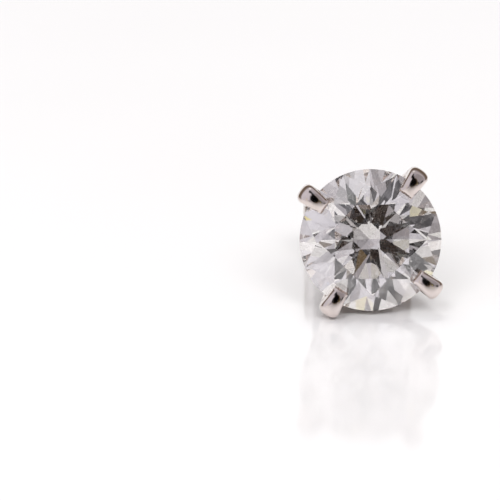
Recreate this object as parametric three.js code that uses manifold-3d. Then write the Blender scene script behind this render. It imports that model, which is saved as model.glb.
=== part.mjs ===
// A solitaire stud earring: a round brilliant in a four-prong white gold head with a straight
// ear post and a push-on clutch, lying as it comes to rest on a table.
//
// Lengths are millimetres. The stud is modelled about its own axis: local +Z leaves the stone's
// table, the post runs along -Z and the girdle plane is z = 0. The whole stud is then tipped onto
// its lowest prong and the foot of the clutch, with the stone facing -Y and the floor at z = 0.
import * as THREE from 'three';
import { mergeVertices } from 'three/addons/utils/BufferGeometryUtils.js';
import Module from 'manifold-3d';

const wasm = await Module();
wasm.setup();

const degrees = THREE.MathUtils.degToRad;

// Round brilliant of one carat. Shares are of the girdle's diameter or radius, as cutters give them.
const STONE_RADIUS = 3.25;
const TABLE_SHARE = 0.57;
const CROWN_ANGLE = degrees(34.5);
const STAR_SHARE = 0.5;
const GIRDLE_THICKNESS = 0.2;
const PAVILION_ANGLE = degrees(40.75);
const LOWER_HALF_SHARE = 0.77;
const MAIN_FACETS = 8;
const HALF_FACETS = 16;
const GIRDLE_FACETS = 96;
const MAIN_TURN = degrees(22.5);
const SEAT_CLEARANCE = 0.05;

// Head. Prong angles are seen from in front of the stone, anticlockwise from its right.
const PRONG_TURNS = [degrees(53.5), degrees(143.5), degrees(238), degrees(321.5)];
const PRONG_WIDTH = 0.85;
const PRONG_EDGE = 0.17;
const PRONG_REACH = 3.98;
const PRONG_LEAN = degrees(27);
const LEG_DEPTH = 0.95;
const BEND_RADIUS = 0.82;
const BEND_HEIGHT = 0.12;
const TIP_DIP = degrees(8);
const TIP_INNER_TOP = 2.66;
const TIP_INNER_FOOT = 2.45;
const RAIL_HEIGHT = -2.3;
const RAIL_WIRE = 0.35;
const BASE_FRONT = -4.1;
const BASE_BACK = -4.6;
const BASE_RADIUS = 1.95;

// Ear post.
const POST_RADIUS = 0.45;
const POST_LENGTH = 7.8;
const POST_NOSE = 0.2;

// Flat sides that stand for a full circle.
const POST_SIDES = 24;
const RING_SIDES = 48;
const WIRE_SIDES = 8;

// Clutch: a plate across the post with its two ends rolled back into scrolls beside the post.
const LOBE_ROOM = 2.2;
const PLATE_WIDTH = 5.2;
const PLATE_CORNER = 0.2;
const PLATE_THICKNESS = 0.4;
const HOLE_RADIUS = 0.52;
const SCROLL_RADIUS = 1.03;
const SCROLL_WALL = 0.33;
const SCROLL_LENGTH = 2.2;
const SCROLL_BITE = 0.12;
const SCROLL_START = degrees(450);
const SCROLL_END = degrees(150);

// How far the stone's face is tipped up from upright when the stud rests.
const REST_TILT = degrees(13.5);

const DIAMOND = { color: 0xdcdfe2, roughness: 0.02, metalness: 0 };
const WHITE_GOLD = { color: 0xd6cfcb, roughness: 0.12, metalness: 1 };

// The solid enclosed by a closed geometry.
function toSolid(geometry) {
  const bare = geometry.clone();
  bare.deleteAttribute('normal');
  bare.deleteAttribute('uv');
  const merged = mergeVertices(bare, 1e-5);
  return new wasm.Manifold(new wasm.Mesh({
    numProp: 3,
    vertProperties: new Float32Array(merged.attributes.position.array),
    triVerts: new Uint32Array(merged.index.array),
  }));
}

// The geometry of a solid's surface.
function toGeometry(solid) {
  const { vertProperties, triVerts } = solid.getMesh();
  const geometry = new THREE.BufferGeometry();
  geometry.setAttribute('position', new THREE.BufferAttribute(vertProperties, 3));
  geometry.setIndex(new THREE.BufferAttribute(triVerts, 1));
  geometry.computeVertexNormals();
  return geometry;
}

function join(solids) {
  return solids.reduce((whole, solid) => whole.add(solid));
}

// A closed body of revolution about the stud's axis, from [radius, z] points that run upwards.
function turned(points, steps) {
  const profile = points.map(([radius, z]) => new THREE.Vector2(radius, z));
  return new THREE.LatheGeometry(profile, steps).rotateX(Math.PI / 2);
}

// One ring of equal facets as a pyramid on the stud's axis. Its flanks slope at `angle`, face
// the directions `turn` + k * 360 / `sides`, and meet `peak` above the girdle plane.
function facetRing(sides, turn, angle, peak) {
  const height = 4 * STONE_RADIUS;
  const inRadius = height / Math.tan(angle);
  const halfSide = Math.PI / sides;
  const pyramid = new THREE.ConeGeometry(inRadius / Math.cos(halfSide), height, sides);
  pyramid.rotateX(Math.PI / 2);
  pyramid.translate(0, 0, peak - height / 2);
  pyramid.rotateZ(turn - halfSide - Math.PI / 2);
  return toSolid(pyramid);
}

// The cut stone. Crown and pavilion are each what their rings of facets leave of a round blank.
function brilliant() {
  const girdleTop = GIRDLE_THICKNESS / 2;
  const tableCorner = TABLE_SHARE * STONE_RADIUS;
  const tableEdge = tableCorner * Math.cos(MAIN_TURN);
  const tableTop = girdleTop + (STONE_RADIUS - tableCorner) * Math.tan(CROWN_ANGLE);
  const halfTurn = MAIN_TURN / 2;

  // The tip where a star facet meets two mains and two halves, and the height it has on a main.
  const starTip = tableEdge + STAR_SHARE * (STONE_RADIUS - tableEdge);
  const mainDrop = (reach, angle) => (STONE_RADIUS - reach * Math.cos(MAIN_TURN)) * Math.tan(angle);
  const starTipTop = girdleTop + mainDrop(starTip, CROWN_ANGLE);
  const starAngle = Math.atan((tableTop - starTipTop) / (starTip - tableEdge));
  const halfRise = (reach) => (STONE_RADIUS - reach) * Math.cos(halfTurn);
  const upperHalfAngle = Math.atan((starTipTop - girdleTop) / halfRise(starTip));
  const lowerTip = (1 - LOWER_HALF_SHARE) * STONE_RADIUS;
  const lowerHalfAngle = Math.atan(mainDrop(lowerTip, PAVILION_ANGLE) / halfRise(lowerTip));

  const mainPeak = (angle) => girdleTop + STONE_RADIUS * Math.tan(angle);
  const halfPeak = (angle) => girdleTop + STONE_RADIUS * Math.cos(halfTurn) * Math.tan(angle);
  const starPeak = tableTop + tableEdge * Math.tan(starAngle);

  const blank = turned([
    [0, -STONE_RADIUS],
    [STONE_RADIUS, -STONE_RADIUS],
    [STONE_RADIUS, tableTop],
    [0, tableTop],
  ], GIRDLE_FACETS);
  const crown = toSolid(blank)
    .intersect(facetRing(MAIN_FACETS, MAIN_TURN, CROWN_ANGLE, mainPeak(CROWN_ANGLE)))
    .intersect(facetRing(MAIN_FACETS, 0, starAngle, starPeak))
    .intersect(facetRing(HALF_FACETS, halfTurn, upperHalfAngle, halfPeak(upperHalfAngle)));
  const pavilion = facetRing(MAIN_FACETS, -MAIN_TURN, PAVILION_ANGLE, mainPeak(PAVILION_ANGLE))
    .intersect(facetRing(HALF_FACETS, halfTurn, lowerHalfAngle, halfPeak(lowerHalfAngle)));
  return crown.intersect(toSolid(toGeometry(pavilion).rotateX(Math.PI)));
}

// One prong in its side view, [radius, z]: a leg leaning out from the base, bent in over the crown.
function prongOutline() {
  const bendCentre = PRONG_REACH - BEND_RADIUS;
  const legTop = -PRONG_LEAN;
  const tipStart = Math.PI / 2 + TIP_DIP;
  const tipStartRadius = bendCentre + BEND_RADIUS * Math.cos(tipStart);
  const tipStartHeight = BEND_HEIGHT + BEND_RADIUS * Math.sin(tipStart);
  const outerRadius = bendCentre + BEND_RADIUS * Math.cos(legTop);
  const outerHeight = BEND_HEIGHT + BEND_RADIUS * Math.sin(legTop);
  const legFoot = (BASE_FRONT + BASE_BACK) / 2;
  const outerFoot = outerRadius - (outerHeight - legFoot) * Math.tan(PRONG_LEAN);
  const legSpan = LEG_DEPTH / Math.cos(PRONG_LEAN);
  const innerTop = outerRadius - outerHeight * Math.tan(PRONG_LEAN) - legSpan;
  const tipTop = tipStartHeight - (tipStartRadius - TIP_INNER_TOP) * Math.tan(TIP_DIP);

  const outline = new THREE.Shape();
  outline.moveTo(outerFoot - legSpan, legFoot);
  outline.lineTo(outerFoot, legFoot);
  outline.lineTo(outerRadius, outerHeight);
  outline.absarc(bendCentre, BEND_HEIGHT, BEND_RADIUS, legTop, tipStart, false);
  outline.lineTo(TIP_INNER_TOP, tipTop);
  outline.lineTo(TIP_INNER_FOOT, 0);
  outline.lineTo(innerTop, 0);
  return outline;
}

function prong(turn) {
  const body = new THREE.ExtrudeGeometry(prongOutline(), {
    depth: PRONG_WIDTH - 2 * PRONG_EDGE,
    curveSegments: 8,
    bevelThickness: PRONG_EDGE,
    bevelSize: PRONG_EDGE,
    bevelOffset: -PRONG_EDGE,
    bevelSegments: 2,
  });
  body.translate(0, 0, PRONG_EDGE - PRONG_WIDTH / 2);
  body.rotateX(Math.PI / 2);
  body.rotateZ(turn);
  return toSolid(body);
}

// The gallery rail joins the legs half way down, on the middle of their wire.
function rail() {
  const bendCentre = PRONG_REACH - BEND_RADIUS;
  const outerAtBend = bendCentre + BEND_RADIUS / Math.cos(PRONG_LEAN);
  const legMiddle = outerAtBend - LEG_DEPTH / 2 / Math.cos(PRONG_LEAN);
  const radius = legMiddle + (RAIL_HEIGHT - BEND_HEIGHT) * Math.tan(PRONG_LEAN);
  const ring = new THREE.TorusGeometry(radius, RAIL_WIRE, WIRE_SIDES, RING_SIDES);
  return toSolid(ring.translate(0, 0, RAIL_HEIGHT));
}

function baseAndPost() {
  const postEnd = BASE_BACK - POST_LENGTH;
  const base = turned([
    [0, BASE_BACK],
    [BASE_RADIUS, BASE_BACK],
    [BASE_RADIUS, BASE_FRONT],
    [0, BASE_FRONT],
  ], RING_SIDES);
  const post = turned([
    [0, postEnd],
    [POST_RADIUS - POST_NOSE, postEnd],
    [POST_RADIUS, postEnd + POST_NOSE],
    [POST_RADIUS, BASE_FRONT],
    [0, BASE_FRONT],
  ], POST_SIDES);
  return toSolid(base).add(toSolid(post));
}

// Prongs, rail, base and post soldered into one, with the stone's seat cut into the prongs.
function setting(stone) {
  const metal = join([...PRONG_TURNS.map(prong), rail(), baseAndPost()]);
  const seatSize = 1 + SEAT_CLEARANCE / (STONE_RADIUS * Math.sin(PAVILION_ANGLE));
  const seat = toSolid(toGeometry(stone).scale(seatSize, seatSize, seatSize));
  return metal.subtract(seat);
}

// The clutch with the back of its plate at z = 0, its width along X.
function clutch(halfHeight) {
  const halfWidth = PLATE_WIDTH / 2;
  const inWidth = halfWidth - PLATE_CORNER;
  const inHeight = halfHeight - PLATE_CORNER;
  const right = Math.PI / 2;
  const outline = new THREE.Shape();
  outline.absarc(inWidth, inHeight, PLATE_CORNER, 0, right, false);
  outline.absarc(-inWidth, inHeight, PLATE_CORNER, right, 2 * right, false);
  outline.absarc(-inWidth, -inHeight, PLATE_CORNER, 2 * right, 3 * right, false);
  outline.absarc(inWidth, -inHeight, PLATE_CORNER, 3 * right, 4 * right, false);
  const hole = new THREE.Path();
  hole.absarc(0, 0, HOLE_RADIUS, 0, 4 * right, true);
  outline.holes.push(hole);
  const plate = new THREE.ExtrudeGeometry(outline, {
    depth: PLATE_THICKNESS,
    curveSegments: 12,
    bevelEnabled: false,
  });

  // A scroll is a C of sheet that leaves the plate's end and curls round to the post.
  const scrollShape = new THREE.Shape();
  scrollShape.absarc(0, 0, SCROLL_RADIUS, SCROLL_END, SCROLL_START, false);
  scrollShape.absarc(0, 0, SCROLL_RADIUS - SCROLL_WALL, SCROLL_START, SCROLL_END, true);
  const scroll = new THREE.ExtrudeGeometry(scrollShape, {
    depth: SCROLL_LENGTH,
    curveSegments: 24,
    bevelEnabled: false,
  });
  scroll.translate(0, 0, -SCROLL_LENGTH / 2);
  scroll.rotateX(Math.PI / 2);
  scroll.translate(halfWidth - SCROLL_RADIUS, 0, SCROLL_BITE - SCROLL_RADIUS);
  const mirrored = scroll.clone().rotateZ(Math.PI);
  return join([toSolid(plate), toSolid(scroll), toSolid(mirrored)]);
}

// Height of a geometry's lowest point above the girdle's centre once the stud is tipped.
function lowestPoint(geometry) {
  const upward = new THREE.Vector3(0, Math.cos(REST_TILT), Math.sin(REST_TILT));
  const point = new THREE.Vector3();
  const { position } = geometry.attributes;
  let lowest = Infinity;
  for (let i = 0; i < position.count; i += 1) {
    lowest = Math.min(lowest, point.fromBufferAttribute(position, i).dot(upward));
  }
  return lowest;
}

function named(name, geometry, finish) {
  const mesh = new THREE.Mesh(geometry, new THREE.MeshStandardMaterial(finish));
  mesh.name = name;
  return mesh;
}

const stone = brilliant();
const stoneGeometry = toGeometry(stone);
const settingGeometry = toGeometry(setting(stone));

// The clutch's plate is as high as brings its foot to the floor that the lowest prong stands on.
const floor = lowestPoint(settingGeometry);
const plateBack = BASE_BACK - LOBE_ROOM - PLATE_THICKNESS;
const plateHalfHeight = (plateBack * Math.sin(REST_TILT) - floor) / Math.cos(REST_TILT);
const clutchGeometry = toGeometry(clutch(plateHalfHeight)).translate(0, 0, plateBack);

const stud = new THREE.Group();
stud.add(
  named('stone', stoneGeometry, DIAMOND),
  named('setting', settingGeometry, WHITE_GOLD),
  named('clutch', clutchGeometry, WHITE_GOLD),
);
stud.rotation.x = Math.PI / 2 - REST_TILT;

// The origin is the bottom centre of the resting stud's box.
const earring = new THREE.Group();
earring.add(stud);
earring.updateMatrixWorld(true);
const box = new THREE.Box3().setFromObject(earring, true);
const centre = box.getCenter(new THREE.Vector3());
stud.position.set(-centre.x, -centre.y, -box.min.z);

export default earring;
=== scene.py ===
"""A solitaire stud earring lying on a pale table: round brilliant, four-prong head, post and clutch.

Every piece is modelled in millimetres about the stud's own axis, with +Z leaving the stone's table
and the girdle plane at z = 0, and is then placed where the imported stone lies.
"""

import math
import random

import bmesh
import bpy
from mathutils import Matrix, Vector


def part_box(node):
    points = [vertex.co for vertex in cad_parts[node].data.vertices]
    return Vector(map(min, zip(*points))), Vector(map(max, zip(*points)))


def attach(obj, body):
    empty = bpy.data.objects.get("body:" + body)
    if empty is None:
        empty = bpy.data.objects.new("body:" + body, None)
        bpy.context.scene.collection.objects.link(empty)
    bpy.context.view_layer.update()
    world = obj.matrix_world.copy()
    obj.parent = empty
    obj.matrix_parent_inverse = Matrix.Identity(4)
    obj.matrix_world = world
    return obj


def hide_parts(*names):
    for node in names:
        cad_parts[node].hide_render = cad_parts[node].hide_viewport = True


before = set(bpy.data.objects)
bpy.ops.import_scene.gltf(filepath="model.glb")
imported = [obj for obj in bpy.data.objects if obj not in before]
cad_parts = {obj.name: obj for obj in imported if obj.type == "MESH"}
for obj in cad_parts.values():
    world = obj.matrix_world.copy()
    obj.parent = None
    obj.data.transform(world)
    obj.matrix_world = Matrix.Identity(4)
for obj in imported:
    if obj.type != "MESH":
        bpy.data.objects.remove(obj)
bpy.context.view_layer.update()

MM = 0.001

# Vertices nearer than this after a boolean are one vertex.
SLIVER = 0.002

# Round brilliant. Shares are of the girdle's diameter or radius, as cutters give them.
STONE_RADIUS = 3.25
TABLE_SHARE = 0.57
CROWN_ANGLE = math.radians(34.5)
STAR_SHARE = 0.5
GIRDLE_TOP = 0.1
PAVILION_ANGLE = math.radians(40.75)
LOWER_HALF_SHARE = 0.77
PAVILION_DEPTH = GIRDLE_TOP + STONE_RADIUS * math.tan(PAVILION_ANGLE)
MAIN_TURN = math.radians(22.5)
HALF_TURN = MAIN_TURN / 2
GIRDLE_SIDES = 96
CUTTER_ERROR = math.radians(0.35)

# Head.
PRONG_TURNS = [53.5, 143.5, 238, 321.5]
PRONG_WIDTH = 0.93
PRONG_REACH = 3.98
PRONG_LEAN = math.radians(27)
LEG_DEPTH = 0.95
BEND_RADIUS = 0.82
BEND_HEIGHT = 0.12
CREST_RADIUS = 3.2
CREST_HEIGHT = 0.94
CREST_CURVE = 1.5
SHOULDER_CURVE = 0.45
TIP_INNER = 2.66
TIP_INNER_FOOT = 2.60
TIP_NARROWING = 0.26
SHOULDER_ROUND = 0.3
CREST_ROUND = 0.25
FLANK_POWER = 2.4
SEAT_GAP = 0.04
CROWN_CLEARANCE = 0.13
CROWN_SLOPE = 0.855
TAPER_START = 0.3
SLICES = 20
RAIL_HEIGHT = -2.3
RAIL_WIRE = 0.35
BASE_FRONT = -4.1
BASE_BACK = -4.6
BASE_RADIUS = 1.95
BASE_EDGE = 0.12
SOLDER_FILLET = 0.22
POST_RADIUS = 0.45
POST_LENGTH = 7.8
POST_NOSE = 0.2

# Clutch.
PLATE_BACK = -7.2
PLATE_THICKNESS = 0.4
PLATE_HALF_WIDTH = 2.2
PLATE_HALF_HEIGHT = 1.79
PLATE_CORNER = 0.3
SHEET_EDGE = 0.07
HOLE_RADIUS = 0.52
HOLE_OVERSHOOT = 0.01
STRIP_LENGTH = 2.2
STRIP_THICKNESS = 0.32
STRIP_START = 1.3
STRIP_BITE = 0.02

# The stud's tilt, from the part's frame note, and the place of its girdle's centre.
REST_TILT = math.radians(13.5)
stone_low, stone_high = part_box("stone")
GIRDLE_CENTRE = Vector((
    (stone_low.x + stone_high.x) / 2,
    stone_high.y - PAVILION_DEPTH * MM * math.cos(REST_TILT),
    stone_low.z + MM * (STONE_RADIUS * math.cos(REST_TILT) + GIRDLE_TOP * math.sin(REST_TILT)),
))
STUD = (
    Matrix.Translation(GIRDLE_CENTRE)
    @ Matrix.Rotation(math.pi / 2 - REST_TILT, 4, "X")
    @ Matrix.Scale(MM, 4)
)

# Camera: a long lens a little above the stone's axis and to its left. The frame's width at the stone
# and the stone's place right of and above the frame's middle are in metres.
VIEW_ELEVATION = math.radians(18)
VIEW_AZIMUTH = math.radians(-3)
VIEW_DISTANCE = 0.2
FRAME_WIDTH = 0.022883
STONE_RIGHT = 0.005515
STONE_UP = 0.000458

# What the stone and the metal see round them, in degrees and colours. Each wall tone stands at an
# angle from the lens, up to straight behind the stud. Each card has its angles right of and above
# the lens, its half-width, its soft rim and its colour, and covers the cards before it.
WALLS = [
    (0, "#a5a1a7"),
    (30, "#aeaab0"),
    (46, "#c6c2c9"),
    (68, "#c2bec4"),
    (80, "#938b8a"),
    (94, "#76685d"),
    (126, "#7b6d62"),
    (140, "#ffffff"),
]
CARDS = [
    (-46, 10, 33, 2, "#dbd8e0"),
    (-26, 60, 12, 2, "#ffffff"),
    (38, 4, 25, 3, "#a39fa4"),
    (28, -10, 7, 1, "#4f4b4a"),
    (50, -18, 9, 1, "#14110f"),
    (7, -1, 17.5, 1, "#6b5a40"),
    (5, 0, 16.5, 0.5, "#040303"),
    (-11, 28, 8, 1, "#0b0908"),
    (2, 18, 7, 1, "#0b0908"),
    (27, -13, 1.7, 0.5, "#e8dc8c"),
    (-27, -12, 2, 0.5, "#ead97c"),
    (14, 28, 1.5, 0.5, "#a8c0ea"),
    (-24, -4, 1.5, 0.5, "#e2c4b8"),
]

# Soft lamps that light the table only: name, place in metres, watts.
LAMP_SIZE = 0.20
LAMPS = [
    ("softbox_above", (-0.05, 0.10, 0.40), 0.5),
    ("softbox_left", (-0.14, -0.35, 0.30), 0.7),
    ("softbox_right", (0.10, -0.35, 0.30), 0.7),
]


def srgb(code):
    """An sRGB hex colour as linear RGBA."""
    parts = [int(code[i:i + 2], 16) / 255 for i in (1, 3, 5)]
    return [c / 12.92 if c <= 0.04045 else ((c + 0.055) / 1.055) ** 2.4 for c in parts] + [1]


def per_mm(size):
    """A texture's scale on Object coordinates for features of that many millimetres."""
    return 1 / (size * MM)


def add(tree, kind, inputs=None, **settings):
    """A node with its settings and with its inputs set, or linked where a socket is given."""
    node = tree.nodes.new(kind)
    for name, value in settings.items():
        setattr(node, name, value)
    for name, value in (inputs or {}).items():
        if isinstance(value, bpy.types.NodeSocket):
            tree.links.new(value, node.inputs[name])
        else:
            node.inputs[name].default_value = value
    return node


def ramp(tree, factor, stops):
    """A colour ramp through (position, colour) stops."""
    node = add(tree, "ShaderNodeValToRGB", {"Fac": factor})
    elements = node.color_ramp.elements
    while len(elements) < len(stops):
        elements.new(0.5)
    for element, (position, colour) in zip(elements, stops):
        element.position = position
        element.color = colour
    return node.outputs["Color"]


# ---------------------------------------------------------------- materials


def new_material(name):
    """An empty node material and its tree."""
    material = bpy.data.materials.new(name)
    material.use_nodes = True
    material.node_tree.nodes.clear()
    return material, material.node_tree


def finish_material(tree, shader):
    """Joins the shader to the material's surface."""
    add(tree, "ShaderNodeOutputMaterial", {"Surface": shader.outputs["BSDF"]})


def polished_diamond():
    """Near-colourless diamond with a lap polish: mirror-flat facets, the faintest warm body colour."""
    material, tree = new_material("polished_diamond")
    place = add(tree, "ShaderNodeTexCoord").outputs["Object"]
    growth = add(tree, "ShaderNodeTexNoise", {"Vector": place, "Scale": per_mm(2.5), "Detail": 2})
    body = ramp(tree, growth.outputs["Fac"], [(0.3, srgb("#fffcf8")), (0.7, srgb("#f9f6f4"))])
    finish_material(tree, add(tree, "ShaderNodeBsdfPrincipled", {
        "Base Color": body,
        "Roughness": 0.0,
        "IOR": 2.417,
        "Transmission Weight": 1.0,
    }))
    return material


def bruted_girdle():
    """The ground rim of the diamond: frosted, with fine chatter from the bruting wheel."""
    material, tree = new_material("bruted_girdle")
    place = add(tree, "ShaderNodeTexCoord").outputs["Object"]
    grit = add(tree, "ShaderNodeTexNoise", {"Vector": place, "Scale": per_mm(0.08), "Detail": 3})
    tone = ramp(tree, grit.outputs["Fac"], [(0.3, srgb("#c9c6c4")), (0.7, srgb("#efedec"))])
    finish_material(tree, add(tree, "ShaderNodeBsdfPrincipled", {
        "Base Color": tone,
        "Roughness": 0.4,
        "IOR": 2.417,
        "Transmission Weight": 0.6,
    }))
    return material


def gold(name, pale, deep, roughness, scratch_depth):
    """White gold: a warm grey metal whose polish holds fine wheel marks running one way."""
    material, tree = new_material(name)
    place = add(tree, "ShaderNodeTexCoord").outputs["Object"]
    cloud = add(tree, "ShaderNodeTexNoise", {"Vector": place, "Scale": per_mm(0.7), "Detail": 3})
    tone = ramp(tree, cloud.outputs["Fac"], [(0.35, srgb(deep)), (0.65, srgb(pale))])
    haze = add(tree, "ShaderNodeMapRange", {
        "Value": cloud.outputs["Fac"],
        "From Min": 0.3,
        "From Max": 0.7,
        "To Min": roughness * 0.7,
        "To Max": roughness * 1.3,
    })
    along = add(tree, "ShaderNodeMapping", {"Vector": place, "Scale": (1, 0.15, 1)})
    marks = add(tree, "ShaderNodeTexNoise", {
        "Vector": along.outputs["Vector"],
        "Scale": per_mm(0.05),
        "Detail": 2,
    })
    bump = add(tree, "ShaderNodeBump", {
        "Height": marks.outputs["Fac"],
        "Strength": 0.1,
        "Distance": scratch_depth * MM,
    })
    finish_material(tree, add(tree, "ShaderNodeBsdfPrincipled", {
        "Base Color": tone,
        "Metallic": 1.0,
        "Roughness": haze.outputs["Result"],
        "Normal": bump.outputs["Normal"],
    }))
    return material


def table_lacquer():
    """The table: satin white lacquer that mirrors what stands on it faintly."""
    material, tree = new_material("table_lacquer")
    place = add(tree, "ShaderNodeTexCoord").outputs["Object"]
    cloud = add(tree, "ShaderNodeTexNoise", {"Vector": place, "Scale": per_mm(40), "Detail": 2})
    tone = ramp(tree, cloud.outputs["Fac"], [(0.3, srgb("#fbfbfb")), (0.7, srgb("#ffffff"))])
    finish_material(tree, add(tree, "ShaderNodeBsdfPrincipled", {
        "Base Color": tone,
        "Roughness": 0.1,
        "IOR": 1.65,
    }))
    return material


# ---------------------------------------------------------------- modelling helpers


def piece(name, bm, node, materials, smooth_angle=None):
    """Places a bmesh made about the stud's axis and puts it in the CAD node's place, hiding that node.
    """
    bmesh.ops.transform(bm, matrix=STUD, verts=bm.verts)
    mesh = bpy.data.meshes.new(name)
    bm.to_mesh(mesh)
    bm.free()
    for material in materials:
        mesh.materials.append(material)
    made = bpy.data.objects.new(name, mesh)
    bpy.context.scene.collection.objects.link(made)
    if smooth_angle:
        mesh.shade_smooth()
        mesh.set_sharp_from_angle(angle=math.radians(smooth_angle))
    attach(made, "root")
    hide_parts(node)


def arc(centre, radius, start, end, steps):
    """Points on an arc in a plane, angles in radians."""
    turns = [start + (end - start) * i / steps for i in range(steps + 1)]
    return [(centre[0] + radius * math.cos(t), centre[1] + radius * math.sin(t)) for t in turns]


def lathe(profile, steps):
    """A closed body of revolution about Z from [radius, z] points that start and end on the axis."""
    bm = bmesh.new()
    line = [bm.verts.new((radius, 0, z)) for radius, z in profile]
    edges = [bm.edges.new(pair) for pair in zip(line, line[1:])]
    bmesh.ops.spin(
        bm,
        geom=line + edges,
        axis=(0, 0, 1),
        cent=(0, 0, 0),
        angle=math.tau,
        steps=steps,
        use_merge=True,
    )
    bmesh.ops.remove_doubles(bm, verts=bm.verts, dist=1e-5)
    bmesh.ops.recalc_face_normals(bm, faces=bm.faces)
    return bm


def in_order(mesh):
    """A bmesh of the mesh with vertices and faces sorted by place, since booleans shuffle them."""
    places = [tuple(vert.co) for vert in mesh.vertices]
    order = sorted(range(len(places)), key=places.__getitem__)
    number = {old: new for new, old in enumerate(order)}
    rings = []
    for polygon in mesh.polygons:
        ring = [number[index] for index in polygon.vertices]
        start = ring.index(min(ring))
        rings.append(ring[start:] + ring[:start])
    bm = bmesh.new()
    verts = [bm.verts.new(places[index]) for index in order]
    for ring in sorted(rings):
        bm.faces.new([verts[index] for index in ring])
    return bm


def combined(parts):
    """Closed bmeshes joined to or cut from the first, each by its own operation, as one bmesh."""
    objects = []
    for number, (part, _) in enumerate(parts):
        mesh = bpy.data.meshes.new(f"part_{number}")
        part.to_mesh(mesh)
        part.free()
        made = bpy.data.objects.new(mesh.name, mesh)
        bpy.context.scene.collection.objects.link(made)
        objects.append(made)
    whole = objects[0]
    for other, (_, operation) in zip(objects[1:], parts[1:]):
        modifier = whole.modifiers.new(other.name, "BOOLEAN")
        modifier.operation = operation
        modifier.solver = "EXACT"
        modifier.object = other
    graph = bpy.context.evaluated_depsgraph_get()
    merged = bpy.data.meshes.new_from_object(whole.evaluated_get(graph))
    bm = in_order(merged)
    bpy.data.meshes.remove(merged)
    for made in objects:
        bpy.data.meshes.remove(made.data)
    bmesh.ops.remove_doubles(bm, verts=bm.verts, dist=SLIVER)
    bmesh.ops.dissolve_degenerate(bm, edges=bm.edges, dist=SLIVER)
    many_sided = [face for face in bm.faces if len(face.verts) > 4]
    bmesh.ops.triangulate(bm, faces=many_sided, ngon_method="BEAUTY")
    return bm


# ---------------------------------------------------------------- stone


def cut_facet(bm, angle, turn, peak):
    """Grinds one facet: the plane slopes at `angle`, faces `turn` and meets the axis at `peak`."""
    upward = math.copysign(1, peak)
    normal = Vector((
        math.sin(angle) * math.cos(turn),
        math.sin(angle) * math.sin(turn),
        math.cos(angle) * upward,
    ))
    cut = bmesh.ops.bisect_plane(
        bm,
        geom=bm.verts[:] + bm.edges[:] + bm.faces[:],
        dist=1e-5,
        plane_co=(0, 0, peak),
        plane_no=normal,
        clear_outer=True,
    )["geom_cut"]
    rim = [item for item in cut if isinstance(item, bmesh.types.BMEdge)]
    if rim:
        bmesh.ops.contextual_create(bm, geom=rim)


def brilliant():
    """The cut stone. Each ring of facets has a little of the cutter's unevenness."""
    rng = random.Random(4)
    corner = TABLE_SHARE * STONE_RADIUS
    table_edge = corner * math.cos(MAIN_TURN)
    table_top = GIRDLE_TOP + (STONE_RADIUS - corner) * math.tan(CROWN_ANGLE)

    # The tip where a star facet meets two mains and two halves sets the angle of both.
    star_tip = table_edge + STAR_SHARE * (STONE_RADIUS - table_edge)
    star_drop = (STONE_RADIUS - star_tip * math.cos(MAIN_TURN)) * math.tan(CROWN_ANGLE)
    star_angle = math.atan((table_top - GIRDLE_TOP - star_drop) / (star_tip - table_edge))
    upper_angle = math.atan(star_drop / ((STONE_RADIUS - star_tip) * math.cos(HALF_TURN)))
    low_tip = (1 - LOWER_HALF_SHARE) * STONE_RADIUS
    low_drop = (STONE_RADIUS - low_tip * math.cos(MAIN_TURN)) * math.tan(PAVILION_ANGLE)
    lower_angle = math.atan(low_drop / ((STONE_RADIUS - low_tip) * math.cos(HALF_TURN)))
    half_reach = STONE_RADIUS * math.cos(HALF_TURN)

    # count, first turn, angle, radius at the girdle or table, height there, side
    rings = [
        (8, MAIN_TURN, PAVILION_ANGLE, STONE_RADIUS, GIRDLE_TOP, -1),
        (16, HALF_TURN, lower_angle, half_reach, GIRDLE_TOP, -1),
        (8, MAIN_TURN, CROWN_ANGLE, STONE_RADIUS, GIRDLE_TOP, 1),
        (8, 0, star_angle, table_edge, table_top, 1),
        (16, HALF_TURN, upper_angle, half_reach, GIRDLE_TOP, 1),
    ]
    bm = bmesh.new()
    bmesh.ops.create_cone(
        bm,
        cap_ends=True,
        segments=GIRDLE_SIDES,
        radius1=STONE_RADIUS,
        radius2=STONE_RADIUS,
        depth=table_top + STONE_RADIUS,
        matrix=Matrix.Translation((0, 0, (table_top - STONE_RADIUS) / 2)),
    )
    for count, first, angle, radius, height, side in rings:
        for index in range(count):
            tilt = angle + rng.uniform(0, CUTTER_ERROR)
            turn = first + math.tau * index / count + rng.uniform(-CUTTER_ERROR, CUTTER_ERROR)
            cut_facet(bm, tilt, turn, side * (height + radius * math.tan(angle)))
    for face in bm.faces:
        face.normal_update()
        face.material_index = int(abs(face.normal.z) < 0.1)
    return bm


# ---------------------------------------------------------------- head


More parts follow.
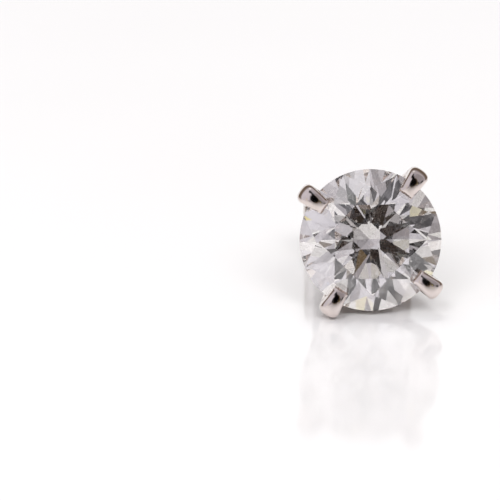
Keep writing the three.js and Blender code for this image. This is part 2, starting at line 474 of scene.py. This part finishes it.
def prong_outline():
    """A prong's side view: (radius, z) points, anticlockwise, each with the rounding of its edge."""
    lean = math.tan(PRONG_LEAN)
    foot = (BASE_FRONT + BASE_BACK) / 2
    bend = PRONG_REACH - BEND_RADIUS + BEND_RADIUS / math.cos(PRONG_LEAN)
    leg_outer = bend - BEND_HEIGHT * lean
    leg_inner = leg_outer - LEG_DEPTH / math.cos(PRONG_LEAN)

    # The leg turns upright at the prong's full reach, then a tight shoulder leads to a flatter crest.
    knee = arc((PRONG_REACH - BEND_RADIUS, BEND_HEIGHT), BEND_RADIUS, -PRONG_LEAN, 0, 6)
    crest = (CREST_RADIUS, CREST_HEIGHT - CREST_CURVE)
    run = CREST_CURVE - SHOULDER_CURVE
    corner_turn = math.acos((PRONG_REACH - SHOULDER_CURVE - CREST_RADIUS) / run)
    corner = (crest[0] + run * math.cos(corner_turn), crest[1] + run * math.sin(corner_turn))
    end_turn = math.acos((TIP_INNER - CREST_RADIUS) / CREST_CURVE)
    over = arc(corner, SHOULDER_CURVE, 0, corner_turn, 12)
    tip = arc(crest, CREST_CURVE, corner_turn, end_turn, 14)[1:]
    end = tip[-1]

    # The seat follows the stone's steepest crown line, its rim and its pavilion, with a gap.
    rim = STONE_RADIUS + SEAT_GAP
    under_tip = CROWN_CLEARANCE + (STONE_RADIUS - TIP_INNER_FOOT) * CROWN_SLOPE
    under_rim = CROWN_CLEARANCE - SEAT_GAP * CROWN_SLOPE
    slope = 1 / math.tan(PAVILION_ANGLE)
    offset = SEAT_GAP / math.sin(PAVILION_ANGLE)
    rim_foot = -GIRDLE_TOP - (offset - SEAT_GAP) / slope
    seat_foot = (STONE_RADIUS + offset + GIRDLE_TOP * slope - leg_inner) / (lean - slope)
    share = (SHOULDER_ROUND - CREST_ROUND) / len(over)
    return [
        (leg_inner + foot * lean, foot, 0.2),
        (leg_outer + foot * lean, foot, SHOULDER_ROUND),
        *[(r, z, SHOULDER_ROUND) for r, z in knee],
        *[(r, z, SHOULDER_ROUND - share * k) for k, (r, z) in enumerate(over)],
        *[(r, z, CREST_ROUND) for r, z in tip[:-1]],
        (end[0] + 0.015, end[1] - 0.012, 0.14),
        (end[0] - 0.005, end[1] - 0.045, 0.07),
        (TIP_INNER_FOOT, under_tip, 0.0),
        (rim, under_rim, 0.0),
        (rim, rim_foot, 0.0),
        (leg_inner + seat_foot * lean, seat_foot, 0.1),
    ]


def prong(turn):
    """A prong: its side view carried across the wire, drawn in towards both flanks and the tip."""
    outline = prong_outline()
    half = PRONG_WIDTH / 2
    bm = bmesh.new()
    inward = bm.verts.layers.float_vector.new("inward")
    ring = [bm.verts.new((radius, -half, z)) for radius, z, _ in outline]
    for i, vert in enumerate(ring):
        along = (ring[(i + 1) % len(ring)].co - ring[i - 1].co).normalized()
        vert[inward] = Vector((-along.z, 0, along.x)) * outline[i][2]

    first = bm.faces.new(ring)
    face = first
    for step in range(1, SLICES + 1):
        across = half * math.sin(math.pi * (step / SLICES - 0.5))
        made = bmesh.ops.extrude_face_region(bm, geom=[face])["geom"]
        if face.is_valid and face is not first:
            bmesh.ops.delete(bm, geom=[face], context="FACES_ONLY")
        face = next(item for item in made if isinstance(item, bmesh.types.BMFace))
        for vert in face.verts:
            vert.co.y = across

    taper_from = PRONG_REACH - TAPER_START
    for vert in bm.verts:
        rounding = vert[inward].length
        if rounding:
            across = abs(vert.co.y / half) ** FLANK_POWER
            vert.co += vert[inward] * (1 - max(0, 1 - across) ** (1 / FLANK_POWER))
        if vert.co.z > 0:
            towards_tip = max(0, (taper_from - vert.co.x) / (taper_from - TIP_INNER))
            vert.co.y *= 1 - TIP_NARROWING * towards_tip
    bm.verts.layers.float_vector.remove(inward)
    bmesh.ops.remove_doubles(bm, verts=bm.verts, dist=1e-4)
    bmesh.ops.recalc_face_normals(bm, faces=bm.faces)
    bmesh.ops.rotate(
        bm, verts=bm.verts, matrix=Matrix.Rotation(math.radians(turn), 3, "Z")
    )
    return bm


def rail():
    """The round wire that ties the legs together below the stone."""
    outer_at_bend = PRONG_REACH - BEND_RADIUS + BEND_RADIUS / math.cos(PRONG_LEAN)
    leg_middle = outer_at_bend - LEG_DEPTH / 2 / math.cos(PRONG_LEAN)
    radius = leg_middle + (RAIL_HEIGHT - BEND_HEIGHT) * math.tan(PRONG_LEAN)
    bm = bmesh.new()
    upright = Matrix.Translation((radius, 0, RAIL_HEIGHT)) @ Matrix.Rotation(math.pi / 2, 4, "X")
    wire = bmesh.ops.create_circle(bm, segments=24, radius=RAIL_WIRE, matrix=upright)["verts"]
    bmesh.ops.spin(
        bm,
        geom=wire + bm.edges[:],
        axis=(0, 0, 1),
        cent=(0, 0, 0),
        angle=math.tau,
        steps=96,
        use_merge=True,
    )
    bmesh.ops.recalc_face_normals(bm, faces=bm.faces)
    return bm


def base_and_post():
    """The flat disc that the legs stand on, with the ear post soldered to its back."""
    end = BASE_BACK - POST_LENGTH
    quarter = math.pi / 2
    edge = BASE_RADIUS - BASE_EDGE
    profile = [
        (0, end),
        *arc((POST_RADIUS - POST_NOSE, end + POST_NOSE), POST_NOSE, -quarter, 0, 6),
        *arc(
            (POST_RADIUS + SOLDER_FILLET, BASE_BACK - SOLDER_FILLET),
            SOLDER_FILLET,
            2 * quarter,
            quarter,
            6,
        ),
        *arc((edge, BASE_BACK + BASE_EDGE), BASE_EDGE, -quarter, 0, 5),
        *arc((edge, BASE_FRONT - BASE_EDGE), BASE_EDGE, 0, quarter, 5),
        (0, BASE_FRONT),
    ]
    return lathe(profile, 96)


def head():
    """The whole soldered head: prongs, rail, base and post."""
    pieces = [prong(turn) for turn in PRONG_TURNS] + [rail(), base_and_post()]
    return combined([(made, "UNION") for made in pieces])


# ---------------------------------------------------------------- clutch


def plate():
    """The clutch's flat plate with rounded corners and a rolled edge."""
    bm = bmesh.new()
    bmesh.ops.create_cube(bm, size=1)
    bmesh.ops.scale(
        bm,
        vec=(2 * PLATE_HALF_WIDTH, 2 * PLATE_HALF_HEIGHT, PLATE_THICKNESS),
        verts=bm.verts,
    )
    upright = [e for e in bm.edges if abs(e.verts[0].co.z - e.verts[1].co.z) > 0.1]
    round_edges(bm, upright, PLATE_CORNER, 8)
    rims = [e for e in bm.edges if abs(e.verts[0].co.z - e.verts[1].co.z) < 0.01]
    round_edges(bm, rims, SHEET_EDGE, 3)
    bmesh.ops.translate(bm, vec=(0, 0, PLATE_BACK + PLATE_THICKNESS / 2), verts=bm.verts)
    return bm


def round_edges(bm, edges, radius, segments):
    """Rounds edges to a radius."""
    bmesh.ops.bevel(
        bm,
        geom=edges,
        offset=radius,
        offset_type="OFFSET",
        affect="EDGES",
        segments=segments,
        profile=0.5,
        material=-1,
    )


def scroll(side):
    """One end of the clutch: a strip that leaves the plate, turns back and curls up by the post."""
    bm = bmesh.new()
    half = STRIP_LENGTH / 2
    front = PLATE_BACK + PLATE_THICKNESS - STRIP_BITE
    start = [bm.verts.new((STRIP_START, y, front)) for y in (-half, half)]
    end = [bm.edges.new(start)]

    def run(vec):
        """Carries the strip's end straight on."""
        made = bmesh.ops.extrude_edge_only(bm, edges=end)["geom"]
        moved = [item for item in made if isinstance(item, bmesh.types.BMVert)]
        bmesh.ops.translate(bm, vec=vec, verts=moved)
        end[:] = [item for item in made if isinstance(item, bmesh.types.BMEdge)]

    def turn(radius, angle, steps, towards):
        """Bends the strip's end round a centre that lies towards (x, z)."""
        x, _, z = end[0].verts[0].co
        cent = (x + towards[0] * radius, 0, z + towards[1] * radius)
        made = bmesh.ops.spin(
            bm,
            geom=list(end[0].verts) + end,
            axis=(0, 1, 0),
            cent=cent,
            angle=math.radians(angle),
            steps=steps,
        )["geom_last"]
        end[:] = [item for item in made if isinstance(item, bmesh.types.BMEdge)]

    run((0.65, 0, 0))
    turn(0.62, 90, 10, (0, -1))
    run((0, 0, -0.67))
    turn(1.03, 180, 28, (-1, 0))
    turn(0.66, 215, 24, (1, 0))
    bmesh.ops.recalc_face_normals(bm, faces=bm.faces)
    bm.faces.ensure_lookup_table()
    inwards = math.copysign(STRIP_THICKNESS, bm.faces[0].normal.z)
    bmesh.ops.solidify(bm, geom=bm.faces[:], thickness=inwards)
    bmesh.ops.recalc_face_normals(bm, faces=bm.faces)
    sharp = [e for e in bm.edges if e.is_manifold and e.calc_face_angle() > 1]
    round_edges(bm, sharp, SHEET_EDGE, 3)
    if side < 0:
        bmesh.ops.rotate(bm, verts=bm.verts, matrix=Matrix.Rotation(math.pi, 3, "Z"))
    return bm


def hole():
    """What the post's hole takes out of the plate, with both its rims eased."""
    front = PLATE_BACK + PLATE_THICKNESS
    return lathe([
        (0, PLATE_BACK - HOLE_OVERSHOOT),
        (HOLE_RADIUS + SHEET_EDGE, PLATE_BACK - HOLE_OVERSHOOT),
        (HOLE_RADIUS, PLATE_BACK + SHEET_EDGE),
        (HOLE_RADIUS, front - SHEET_EDGE),
        (HOLE_RADIUS + SHEET_EDGE, front + HOLE_OVERSHOOT),
        (0, front + HOLE_OVERSHOOT),
    ], 64)


def clutch():
    """The push-on clutch: plate, two scrolls and the post's hole."""
    return combined([
        (plate(), "UNION"),
        (scroll(1), "UNION"),
        (scroll(-1), "UNION"),
        (hole(), "DIFFERENCE"),
    ])


# ---------------------------------------------------------------- scene


def make_floor():
    """The table top, far wider than the view."""
    bm = bmesh.new()
    bmesh.ops.create_grid(bm, x_segments=4, y_segments=4, size=1.5)
    mesh = bpy.data.meshes.new("table_top")
    bm.to_mesh(mesh)
    bm.free()
    mesh.materials.append(table_lacquer())
    floor = bpy.data.objects.new("table_top", mesh)
    bpy.context.scene.collection.objects.link(floor)


def make_camera():
    """A long lens, a little above the stone's axis, aimed so that the stud lies right of centre."""
    turn = Matrix.Rotation(VIEW_AZIMUTH, 3, "Z")
    forward = turn @ Vector((0, math.cos(VIEW_ELEVATION), -math.sin(VIEW_ELEVATION)))
    up = turn @ Vector((0, math.sin(VIEW_ELEVATION), math.cos(VIEW_ELEVATION)))
    right = turn @ Vector((1, 0, 0))
    aim = GIRDLE_CENTRE - right * STONE_RIGHT - up * STONE_UP
    camera = bpy.data.objects.new("camera", bpy.data.cameras.new("camera"))
    camera.data.sensor_width = 36
    camera.data.lens = 36 * VIEW_DISTANCE / FRAME_WIDTH
    camera.data.clip_start = 0.01
    camera.data.clip_end = 20
    camera.location = aim - forward * VIEW_DISTANCE
    camera.rotation_euler = forward.to_track_quat("-Z", "Y").to_euler()
    bpy.context.scene.collection.objects.link(camera)
    bpy.context.scene.camera = camera


def heading(right, above):
    """The direction that many degrees right of and above the stone's own view of the lens."""
    azimuth = VIEW_AZIMUTH + math.radians(right)
    elevation = VIEW_ELEVATION + math.radians(above)
    return Vector((
        math.sin(azimuth) * math.cos(elevation),
        -math.cos(azimuth) * math.cos(elevation),
        math.sin(elevation),
    ))


def make_tent():
    """A pale light tent with darker cards in it and an opening for the lens."""
    world = bpy.data.worlds.new("light_tent")
    bpy.context.scene.world = world
    world.use_nodes = True
    tree = world.node_tree
    tree.nodes.clear()
    way = add(tree, "ShaderNodeTexCoord").outputs["Generated"]

    def share_of_half_turn(direction):
        """The angle to a direction, as a share of 180 degrees."""
        facing = add(tree, "ShaderNodeVectorMath", {0: way, 1: direction}, operation="DOT_PRODUCT")
        angle = add(tree, "ShaderNodeMath", {0: facing.outputs["Value"]}, operation="ARCCOSINE")
        share = add(tree, "ShaderNodeMath", {0: angle.outputs[0], 1: math.pi}, operation="DIVIDE")
        return share.outputs[0]

    walls = ramp(
        tree,
        share_of_half_turn(heading(0, 0)),
        [(angle / 180, srgb(colour)) for angle, colour in WALLS],
    )
    for right, above, size, rim, colour in CARDS:
        cover = add(tree, "ShaderNodeMapRange", {
            "Value": share_of_half_turn(heading(right, above)),
            "From Min": size / 180,
            "From Max": (size + rim) / 180,
            "To Min": 1.0,
            "To Max": 0.0,
        })
        walls = add(tree, "ShaderNodeMix", {
            0: cover.outputs["Result"],
            6: walls,
            7: srgb(colour),
        }, data_type="RGBA").outputs[2]
    seen = add(tree, "ShaderNodeLightPath").outputs["Is Camera Ray"]
    colour = add(tree, "ShaderNodeMix", {0: seen, 6: walls, 7: srgb("#ffffff")}, data_type="RGBA")
    background = add(tree, "ShaderNodeBackground", {"Color": colour.outputs[2]})
    add(tree, "ShaderNodeOutputWorld", {"Surface": background.outputs[0]})


def make_lamp(name, place, watts):
    """A round lamp aimed at the stud, hidden from mirror reflections and from the stone."""
    lamp = bpy.data.objects.new(name, bpy.data.lights.new(name, "AREA"))
    lamp.data.shape = "DISK"
    lamp.data.size = LAMP_SIZE
    lamp.data.energy = watts
    lamp.location = place
    lamp.visible_glossy = False
    lamp.visible_transmission = False
    lamp.rotation_euler = (GIRDLE_CENTRE - lamp.location).to_track_quat("-Z", "Y").to_euler()
    bpy.context.scene.collection.objects.link(lamp)


make_camera()
make_tent()
for lamp_name, lamp_place, lamp_watts in LAMPS:
    make_lamp(lamp_name, lamp_place, lamp_watts)
make_floor()

piece("round_brilliant", brilliant(), "stone", [polished_diamond(), bruted_girdle()])
piece(
    "prong_head",
    head(),
    "setting",
    [gold("polished_white_gold", "#e8deda", "#dbd0ca", 0.12, 0.004)],
    32,
)
piece(
    "butterfly_clutch",
    clutch(),
    "clutch",
    [gold("tumbled_white_gold", "#e2dcd8", "#d3cbc6", 0.2, 0.008)],
    32,
)

scene = bpy.context.scene
scene.view_settings.view_transform = "Standard"
scene.cycles.max_bounces = 32
scene.cycles.transmission_bounces = 32
scene.cycles.glossy_bounces = 24
